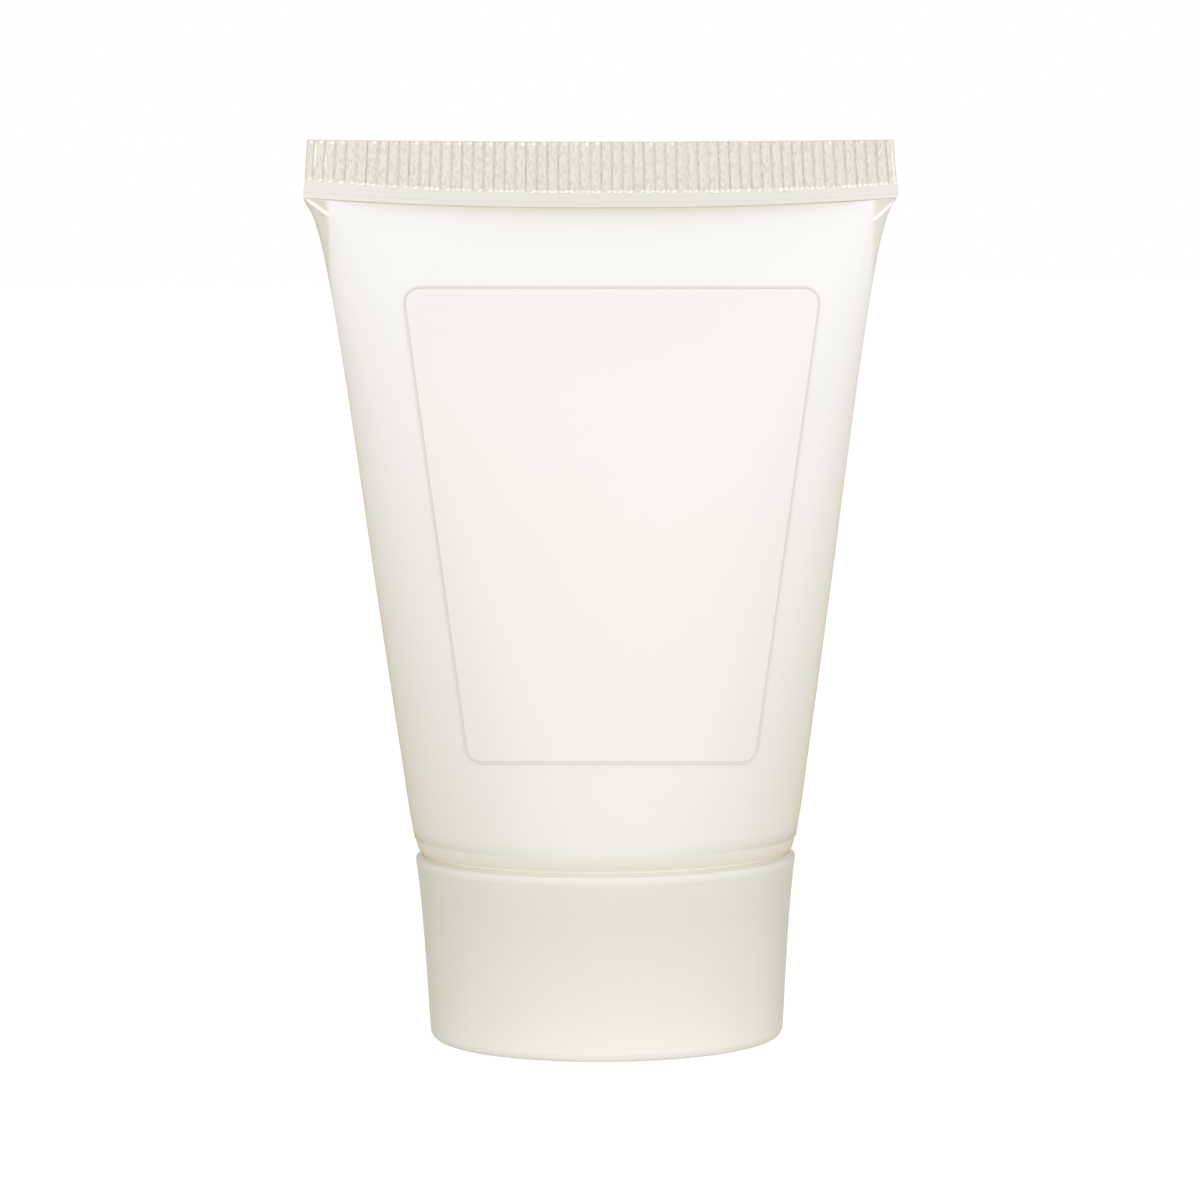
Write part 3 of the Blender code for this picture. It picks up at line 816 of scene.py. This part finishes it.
def label_outline(inset):
    """The label's outline as (x, z) points, set in from its edge: a trapezoid, corners round."""
    low, high = LABEL_ENDS
    top = (LABEL_HIGH.x - LABEL_LOW.x) / 2 * LABEL_STRETCH
    bottom = top * LABEL_TAPER_SHARE
    slope = (top - bottom) / (high - low)
    cut = inset * math.sqrt(1 + slope**2)
    top_x = top - slope * inset - cut
    bottom_x = bottom + slope * inset - cut
    low += inset
    high -= inset
    corners = np.array([(top_x, high), (-top_x, high), (-bottom_x, low), (bottom_x, low)])
    radius = LABEL_CORNER - inset
    points = []
    for i, corner in enumerate(corners):
        before = corners[i - 1] - corner
        after = corners[(i + 1) % 4] - corner
        before = before / np.linalg.norm(before)
        after = after / np.linalg.norm(after)
        half_angle = math.acos(before @ after) / 2
        middle = (before + after) / np.linalg.norm(before + after)
        centre = corner + middle * radius / math.sin(half_angle)
        first = corner + before * radius / math.tan(half_angle) - centre
        last = corner + after * radius / math.tan(half_angle) - centre
        for share in np.linspace(0, 1, LABEL_CORNER_POINTS):
            spoke = first * (1 - share) + last * share
            points.append(centre + spoke / np.linalg.norm(spoke) * radius)
    return np.array(points)


def resample(loop, count):
    """The same closed loop with evenly spaced points."""
    closed = np.vstack([loop, loop[:1]])
    steps = np.linalg.norm(np.diff(closed, axis=0), axis=1)
    place = np.concatenate([[0], np.cumsum(steps)])
    at = np.linspace(0, place[-1], count, endpoint=False)
    return np.stack([np.interp(at, place, line) for line in closed.T], axis=-1)


def on_sleeve(loop, lift):
    """A loop of the flat label's (x, z) points, laid on the sleeve's front and lifted off it."""
    x = loop[:, 0] + LABEL_OFFSET + np.interp(loop[:, 1], LABEL_ENDS, LABEL_SHIFTS)
    round_share = 1 - np.sqrt(1 - (x / half_width_at(loop[:, 1])) ** 2)
    z = loop[:, 1] - LABEL_TILT * x - np.interp(loop[:, 1], LABEL_ENDS, LABEL_DROPS)
    z = z - np.interp(loop[:, 1], LABEL_ENDS, LABEL_SAGS) * round_share
    return np.stack([x, -depth_at(x, z) - lift, z], axis=-1)


def make_label():
    """The film label, from its rim in to its middle; its edge is a little greyer."""
    outline = resample(label_outline(0), LABEL_COLUMNS)
    border = resample(label_outline(LABEL_EDGE), LABEL_COLUMNS)
    middle_z = (LABEL_LOW.z + LABEL_HIGH.z) / 2
    spine_z = middle_z + (border[:, 1] - middle_z) * LABEL_SPINE_SHARE
    spine = np.stack([0 * border[:, 0], spine_z], axis=-1)
    top = LABEL_LIFT + LABEL_FILM
    loops = [(outline, 0, 0), (outline, LABEL_LIFT + LABEL_FILM * LABEL_CUT_SHARE, LABEL_CUT_GREY)]
    for share, edge_grey in LABEL_RIM:
        loops.append((outline + (border - outline) * share, top, edge_grey))
    edge = loops[-1][0]
    for share in np.linspace(0, 1, LABEL_ROWS)[1:]:
        loops.append((edge * (1 - share) + spine * share, top, 0))
    points = np.concatenate([on_sleeve(loop, lift) for loop, lift, edge_grey in loops])
    marks = {
        "edge_grey": np.repeat([edge_grey for loop, lift, edge_grey in loops], LABEL_COLUMNS),
        # painted light: the film is lighter and bluer towards its top, as if lit from above
        "height": (points[:, 2] - SHOULDER_Z) / SLEEVE_LENGTH,
    }
    return mesh_object("label_film", points, ring_faces(len(loops), LABEL_COLUMNS), marks=marks)


# The cap and its liner

# Where the cap's tones and painted light change, as (start, end) heights, and how far a painted
# sparkle reaches
# painted light: the cap is lighter towards its foot
LOW_LIGHT_END = (1.0 * MM, 15.0 * MM)
# painted light at the foot's edge, against the shade under it
FOOT_LIGHT_END = (0.05 * MM, 0.65 * MM)
LIP_START = (LIP_LOW - 0.08 * MM, LIP_LOW + 0.05 * MM)
LIP_TOP_START = (CAP_HEIGHT - 0.02 * MM, CAP_HEIGHT + 0.1 * MM)
SPARKLE_REACH = 0.14 * MM


def skirt_radius_at(z):
    """The outside of the cap's tapered skirt at a height."""
    return float(curve_through(SKIRT_RADII, z))


def cap_marks(r, z, angle):
    """Where light is painted on the cap: towards its foot, at its foot's edge, on its lip and the
    lip's top, and as sparkles along the lip's inside.
    """
    # painted light on the lip's top, against the shade of the sleeve over it
    lip_top_painted_light = smooth_step(z, *LIP_TOP_START)
    # painted sparkles along the lip's top
    painted_sparkle = np.zeros(angle.shape)
    for place in SPARKLES:
        painted_sparkle = np.maximum(painted_sparkle, dab((angle - place) * TUBE_RADIUS / SPARKLE_REACH, 2))
    return {
        # painted light, lighter towards the foot
        "solid": 1 - smooth_step(z, *LOW_LIGHT_END),
        # painted light at the foot's edge
        "foot": 1 - smooth_step(z, *FOOT_LIGHT_END),
        # the lip, with painted light on it; it also sets how far light spreads there
        "lip": smooth_step(z, *LIP_START),
        "lip_top_painted_light": lip_top_painted_light,
        "painted_sparkle": lip_top_painted_light * painted_sparkle,
    }


def make_cap():
    """The screw cap: skirt with its lip, end wall, and the threaded boss inside."""
    boss_bore = NECK_RADIUS + THREAD_DEPTH + FIT_GAP
    boss_outer = boss_bore + BOSS_WALL
    boss_top = NECK_ROOT + (boss_bore - NECK_RADIUS) * SLOPE - BOSS_CLEARANCE
    thread_low = LINER_HIGH.z + BORE_THREAD_RISE

    def swell(r, z, angle):
        on_bore = np.abs(r - boss_bore) < SAME_RADIUS
        low_run, high_start, high_end = BORE_THREAD_FADES
        low_fade = (thread_low, thread_low + low_run)
        high_fade = (boss_top - high_start, boss_top - high_end)
        depth = THREAD_GROOVE * thread_wave(z, angle, 0.5)
        return depth * between(z, low_fade, high_fade) * on_bore

    # Up the boss's bore, over its top and down its outside to the cap's floor
    bore_rows = np.linspace(thread_low - BORE_THREAD_LEAD, boss_top - BOSS_CHAMFER, BORE_ROWS)
    profile = [(0, CAP_END_WALL), (boss_bore, CAP_END_WALL)]
    profile += [(boss_bore, z) for z in bore_rows]
    profile += [(boss_bore + BOSS_CHAMFER, boss_top), (boss_outer - BOSS_EDGE, boss_top)]
    profile.append((boss_outer, boss_top - BOSS_EDGE))
    profile += [(boss_outer + run, CAP_END_WALL + rise) for run, rise in BOSS_FILLET]

    # Out to the skirt, up its inside and round the lip
    floor_radius = skirt_radius_at(CAP_END_WALL) - CAP_WALL - CAP_FLOOR_FILLET
    fillet_z = CAP_END_WALL + CAP_FLOOR_FILLET
    profile += arc(floor_radius, fillet_z, CAP_FLOOR_FILLET, math.pi / 2, 0, CAP_CORNER_STEPS)
    mouth_z = CAP_HEIGHT - MOUTH_DEPTH
    profile.append((skirt_radius_at(mouth_z) - CAP_WALL, mouth_z))
    nest = SHOULDER_ROUND + LIP_CLEARANCE
    lip_top = CAP_HEIGHT + LIP_RISE
    top_angle = math.asin((SHOULDER_Z - lip_top) / nest)
    profile += curl(nest, top_angle + LIP_NEST_ANGLE, top_angle, LIP_NEST_STEPS)
    lip_inner = profile[-1][0]
    for run, drop in LIP_PROFILE:
        profile.append((lip_inner + (TUBE_RADIUS - lip_inner) * run, lip_top - LIP_SLOPE * drop))
    profile += [(TUBE_RADIUS, LIP_LOW + LIP_EDGE_HEIGHT), (TUBE_RADIUS - LIP_UNDERCUT, LIP_LOW)]

    # Down the skirt's outside and round to the middle of the foot
    profile.append((skirt_radius_at(LIP_LOW - LIP_STEP), LIP_LOW - LIP_STEP))
    skirt_rows = np.linspace(LIP_LOW - SKIRT_START, SKIRT_END, SKIRT_ROWS)
    profile += [(skirt_radius_at(z), z) for z in skirt_rows]
    corner = CAP_CORNER_ROUND
    corner_radius = skirt_radius_at(corner) - corner
    profile += arc(corner_radius, corner, corner, 0, math.pi / 2, CAP_CORNER_STEPS)
    profile.append((0, 0))
    return turned("cap_shell", profile, swell=swell, marks_at=cap_marks)


def make_liner():
    """The sealing disc that lies loose in the boss."""
    radius = LINER_HIGH.x
    low = LINER_LOW.z
    high = LINER_HIGH.z
    flat = radius - LINER_BEVEL
    profile = [(0, high), (radius / 2, high), (flat, high), (radius, high - LINER_BEVEL)]
    profile += [(radius, low + LINER_BEVEL), (flat, low), (radius / 2, low), (0, low)]
    return turned("liner_disc", profile)


# Materials

PLASTIC_IOR = 1.49
LIP_SPREAD = 0.15
SCATTER_LENGTH = 1.4 * MM

# The grains that make the tones and the painted shade on the crimp uneven; one drawn out upward has
# upright below 1
RIB_SPECKLE = {"scale": 4400.0, "low": -0.5, "high": 1.0, "upright": 0.4}
GROOVE_SHADE_GRAIN = {"scale": 5200.0, "low": 0.45, "high": 1.15, "upright": 1.0}

# Tones in screen values from 0 to 255: a plastic's light and dark one, and those laid over them by
# marks, in order, some made uneven by a grain. The sleeve is white where the lotion lies behind its
# wall and greyer where it is empty, and the film is greyer at its edge. Some laid tones are painted
# light and shade: on the sleeve a lighter top, shade in its corners and between its ribs, light by
# the cap's lip and in the fold under the seam, and highlights; on the cap, light towards and at its
# foot, on its lip and the lip's top, and sparkles
WHITE = (255, 255, 255)
SLEEVE_PLASTIC = ((224, 224, 225), (222, 222, 222))
SLEEVE_TONES = (
    # painted light, lighter and bluer towards the top
    ("height", (236, 238, 246)),
    ("over_head", (224, 220, 215)),
    # painted light in the crease by the cap's lip
    ("lip_crease_painted_light", (253, 251, 249)),
    ("empty", (221, 221, 221)),
    # the pinched corners, darker where empty, with painted shade that is stronger at the left
    ("corner", (204, 203, 195)),
    # painted light in the fold under the seam
    ("fold_painted_light", (248, 250, 254)),
    ("ribbed", (220, 220, 218)),
    ("ribbed", (202, 201, 195), RIB_SPECKLE),
    # painted shade between the ribs, in dark lines and at the crimp's cut ends
    ("painted_groove_shade", (212, 212, 206), GROOVE_SHADE_GRAIN),
    # painted highlights
    ("painted_highlight", WHITE),
)
SLEEVE_SKIN = (249, 247, 243)
FILM_PLASTIC = ((224, 224, 225), (223, 223, 223))
FILM_TONES = (
    # painted light, lighter and bluer towards the top
    ("height", (233, 234, 240)),
    ("edge_grey", (205, 205, 204)),
)
CAP_PLASTIC = ((231, 230, 226), (230, 229, 224))
CAP_TONES = (
    # painted light, lighter towards the foot
    ("solid", (239, 238, 236)),
    # painted light at the foot's edge
    ("foot", (255, 254, 253)),
    # painted light on the lip, as lit from above
    ("lip", (235, 232, 230)),
    # painted light on the lip's top
    ("lip_top_painted_light", (252, 250, 249)),
    # painted sparkles, as glints
    ("painted_sparkle", WHITE),
)
CAP_SKIN = (243, 242, 239)
HEAD_PLASTIC = ((240, 237, 228), (236, 233, 223))
LINER_FOAM = ((244, 243, 238), (236, 235, 230))
LOTION_CREAM = ((250, 247, 240), (248, 245, 238))


def tint(tone):
    """A linear colour from screen values of 0 to 255."""
    shares = [value / 255 for value in tone]
    return (*(v / 12.92 if v <= 0.04 else ((v + 0.055) / 1.055) ** 2.4 for v in shares), 1)


def feed(node, inputs):
    """Gives some inputs of a node, by name or number, a value or another node's output each."""
    for key, value in inputs.items():
        if isinstance(value, bpy.types.NodeSocket):
            node.id_data.links.new(value, node.inputs[key])
        else:
            node.inputs[key].default_value = value


def add_node(tree, kind, inputs, **settings):
    """A new node with its own settings and inputs."""
    node = tree.nodes.new(kind)
    for name, value in settings.items():
        setattr(node, name, value)
    feed(node, inputs)
    return node


def new_material(name):
    """A new material and its node tree."""
    material = bpy.data.materials.new(name)
    material.use_nodes = True
    return material, material.node_tree


def shader_of(material):
    return material.node_tree.nodes["Principled BSDF"]


def plastic(name, tones, roughness, grain=900.0, grain_height=0.008 * MM, mottle=90.0):
    """A moulded plastic whose colour drifts a little between two tones, with a fine grain."""
    light, dark = tones
    material, tree = new_material(name)
    place = add_node(tree, "ShaderNodeTexCoord", {}).outputs["Object"]
    drift = add_node(tree, "ShaderNodeTexNoise", {"Vector": place, "Scale": mottle, "Detail": 3.0})
    colour = add_node(tree, "ShaderNodeValToRGB", {"Fac": drift.outputs["Fac"]})
    for element, position, tone in zip(colour.color_ramp.elements, (0.3, 0.7), (dark, light)):
        element.position = position
        element.color = tint(tone)
    fine = add_node(tree, "ShaderNodeTexNoise", {"Vector": place, "Scale": grain, "Detail": 2.0})
    relief = {"Height": fine.outputs["Fac"], "Strength": 1.0, "Distance": grain_height}
    bump = add_node(tree, "ShaderNodeBump", relief)
    look = {"Base Color": colour.outputs["Color"], "Normal": bump.outputs["Normal"]}
    feed(shader_of(material), {"Roughness": roughness, "IOR": PLASTIC_IOR, **look})
    return material


def read_mark(tree, name):
    """The output of a share that is kept at the mesh's points."""
    return add_node(tree, "ShaderNodeAttribute", {}, attribute_name=name).outputs["Fac"]


def grained(tree, share, scale, low, high, upright):
    """The same share, made uneven by a fine grain."""
    place = add_node(tree, "ShaderNodeTexCoord", {}).outputs["Object"]
    stretch = {"Vector": place, "Scale": (1.0, 1.0, upright)}
    place = add_node(tree, "ShaderNodeMapping", stretch).outputs["Vector"]
    grain = add_node(tree, "ShaderNodeTexNoise", {"Vector": place, "Scale": scale, "Detail": 1.0})
    span = {"From Min": 0.3, "From Max": 0.7, "To Min": low, "To Max": high}
    level = add_node(tree, "ShaderNodeMapRange", {"Value": grain.outputs["Fac"], **span})
    factors = {0: share, 1: level.outputs["Result"]}
    uneven = add_node(tree, "ShaderNodeMath", factors, operation="MULTIPLY", use_clamp=True)
    return uneven.outputs[0]


def toned_plastic(name, tones, roughness, laid_tones, skin):
    """A plastic with tones laid over its own, each by a mark and some through a grain.

    Its clear skin takes up light as a translucent wall does, most where it is crossed aslant.
    """
    material = plastic(name, tones, roughness)
    tree = material.node_tree
    shader = shader_of(material)
    for mark, tone, *grain in laid_tones:
        share = read_mark(tree, mark)
        if grain:
            share = grained(tree, share, **grain[0])
        under = shader.inputs["Base Color"].links[0].from_socket
        mix = add_node(tree, "ShaderNodeMix", {6: under, 7: tint(tone), 0: share}, data_type="RGBA")
        feed(shader, {"Base Color": mix.outputs[2]})
    coat = {"Coat Weight": 1.0, "Coat Roughness": 0.3, "Coat IOR": 1.01, "Coat Tint": tint(skin)}
    feed(shader, coat)
    return material


def milky_plastic():
    """The cap's translucent plastic, through which light spreads, though little in its thin lip.

    Painted light makes it lightest in its thick end, at the edge of its foot and on its lip.
    """
    material = toned_plastic("cap_polypropylene", CAP_PLASTIC, 0.3, CAP_TONES, CAP_SKIN)
    tree = material.node_tree
    in_lip = {"Value": read_mark(tree, "lip"), "To Min": 1.0, "To Max": LIP_SPREAD}
    spread = add_node(tree, "ShaderNodeMapRange", in_lip).outputs["Result"]
    feed(shader_of(material), {
        "Subsurface Weight": spread,
        "Subsurface Radius": (1.0, 1.0, 1.0),
        "Subsurface Scale": SCATTER_LENGTH,
        "Sheen Weight": 0.6,
        "Sheen Roughness": 0.25,
    })
    return material


def make_pieces():
    """The six pieces, each on its body in place of the solid that it dresses."""
    wall = toned_plastic("sleeve_polyethylene", SLEEVE_PLASTIC, 0.36, SLEEVE_TONES, SLEEVE_SKIN)
    sleeve = make_sleeve()
    sleeve.data.materials.append(wall)
    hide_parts("tube_sleeve")
    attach(sleeve, "tube")

    contents = make_contents()
    contents.data.materials.append(plastic("lotion_cream", LOTION_CREAM, 0.42, mottle=60.0))
    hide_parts("lotion")
    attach(contents, "tube")

    head = make_head()
    head.data.materials.append(plastic("head_polyethylene", HEAD_PLASTIC, 0.35))
    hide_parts("tube_head")
    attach(head, "tube")

    film = toned_plastic("clear_film", FILM_PLASTIC, 0.3, FILM_TONES, SLEEVE_SKIN)
    label = make_label()
    label.data.materials.append(film)
    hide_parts("front_label")
    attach(label, "tube")

    cap = make_cap()
    cap.data.materials.append(milky_plastic())
    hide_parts("screw_cap")
    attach(cap, "cap")

    foam = plastic("liner_foam", LINER_FOAM, 0.75, grain=2500.0, grain_height=0.02 * MM)
    liner = make_liner()
    liner.data.materials.append(foam)
    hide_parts("cap_liner")
    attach(liner, "liner")


# The studio

CAMERA_PLACE = (-0.36 * MM, -570 * MM, 90 * MM)
CAMERA_PITCH = math.radians(4.627)
CAMERA_ROLL = math.radians(-0.42)
CAMERA_LENS = 171.8

# Each lamp's name, place, aim, width, height and power
SOFTBOXES = (
    ("front_softbox", (0.05, -0.85, 0.2), (0, 0, 0.05), 2.2, 0.5, 4.2),
    ("left_softbox", (-0.6, -0.08, 0.03), (0, 0, 0.02), 0.3, 0.2, 0.08),
    ("right_softbox", (0.6, -0.08, 0.03), (0, 0, 0.02), 0.3, 0.2, 0.14),
)

# The room is seen white, but its light has one tone at the left and another from near the middle on
WORLD_LIGHT = 1.04
LEFT_TONE = (0.84, 0.80, 0.68, 1)
RIGHT_TONE = (0.955, 0.94, 0.875, 1)
TONE_CHANGE = (-0.9, 0.1)

FLOOR_SIZE = 6.0
FLOOR_DROP = 0.02 * MM
FLOOR_TONE = 0.3
FLOOR_GLOW = 0.57
FLOOR_GLOW_SEEN = 0.21


def white_to_the_camera(tree):
    """1 for camera, glossy and transmission rays, and 0 for the rays that carry light."""
    path = add_node(tree, "ShaderNodeLightPath", {})
    total = path.outputs["Is Camera Ray"]
    for kind in ("Is Glossy Ray", "Is Transmission Ray"):
        terms = {0: total, 1: path.outputs[kind]}
        total = add_node(tree, "ShaderNodeMath", terms, operation="ADD", use_clamp=True).outputs[0]
    return total


def make_camera(scene):
    """The camera, which looks at the front from a little above."""
    camera = bpy.data.objects.new("camera", bpy.data.cameras.new("camera"))
    scene.collection.objects.link(camera)
    camera.data.sensor_width = 36
    camera.data.lens = CAMERA_LENS
    camera.data.clip_start = 0.01
    camera.data.clip_end = 50
    camera.location = CAMERA_PLACE
    tilt = Euler((math.pi / 2 - CAMERA_PITCH, 0, 0)).to_matrix()
    camera.rotation_euler = (tilt @ Matrix.Rotation(CAMERA_ROLL, 3, "Z")).to_euler()
    scene.camera = camera


def make_lamps(scene):
    """The soft lamps, one in front and one low at each side."""
    for name, place, aim, width, height, power in SOFTBOXES:
        data = bpy.data.lights.new(name, "AREA")
        data.shape = "RECTANGLE"
        data.size = width
        data.size_y = height
        data.energy = power
        lamp = bpy.data.objects.new(name, data)
        scene.collection.objects.link(lamp)
        lamp.location = place
        lamp.rotation_euler = (Vector(aim) - Vector(place)).to_track_quat("-Z", "Y").to_euler()


def make_room(scene):
    """The world: white where it is seen, and toned from left to right where it gives light."""
    world = bpy.data.worlds.new("studio")
    scene.world = world
    world.use_nodes = True
    tree = world.node_tree
    around = add_node(tree, "ShaderNodeTexCoord", {}).outputs["Generated"]
    across = add_node(tree, "ShaderNodeSeparateXYZ", {"Vector": around}).outputs["X"]
    span = {"From Min": TONE_CHANGE[0], "From Max": TONE_CHANGE[1]}
    side = add_node(tree, "ShaderNodeMapRange", {"Value": across, **span}).outputs["Result"]
    sides = {0: side, 6: LEFT_TONE, 7: RIGHT_TONE}
    room = add_node(tree, "ShaderNodeMix", sides, data_type="RGBA").outputs[2]
    seen = white_to_the_camera(tree)
    whitened = {0: seen, 6: room, 7: (1, 1, 1, 1)}
    tone = add_node(tree, "ShaderNodeMix", whitened, data_type="RGBA").outputs[2]
    power = {"Value": seen, "To Min": WORLD_LIGHT, "To Max": 1.0}
    level = add_node(tree, "ShaderNodeMapRange", power).outputs["Result"]
    feed(tree.nodes["Background"], {"Color": tone, "Strength": level})


def make_floor(scene):
    """The floor, which glows white to the camera and less as a source of light."""
    mesh = bpy.data.meshes.new("floor")
    half = FLOOR_SIZE / 2
    corners = ((-half, -half), (half, -half), (half, half), (-half, half))
    mesh.from_pydata([(x, y, -FLOOR_DROP) for x, y in corners], [], [(0, 1, 2, 3)])
    floor = bpy.data.objects.new("floor", mesh)
    scene.collection.objects.link(floor)
    material, tree = new_material("white_floor")
    terms = {0: white_to_the_camera(tree), 1: FLOOR_GLOW_SEEN, 2: FLOOR_GLOW}
    glow = add_node(tree, "ShaderNodeMath", terms, operation="MULTIPLY_ADD").outputs[0]
    feed(shader_of(material), {
        "Base Color": (FLOOR_TONE, FLOOR_TONE, FLOOR_TONE, 1),
        "Roughness": 0.9,
        "Specular IOR Level": 0.0,
        "Emission Color": (1, 1, 1, 1),
        "Emission Strength": glow,
    })
    mesh.materials.append(material)


make_pieces()
scene = bpy.context.scene
make_camera(scene)
make_lamps(scene)
make_room(scene)
make_floor(scene)
scene.view_settings.view_transform = "Standard"
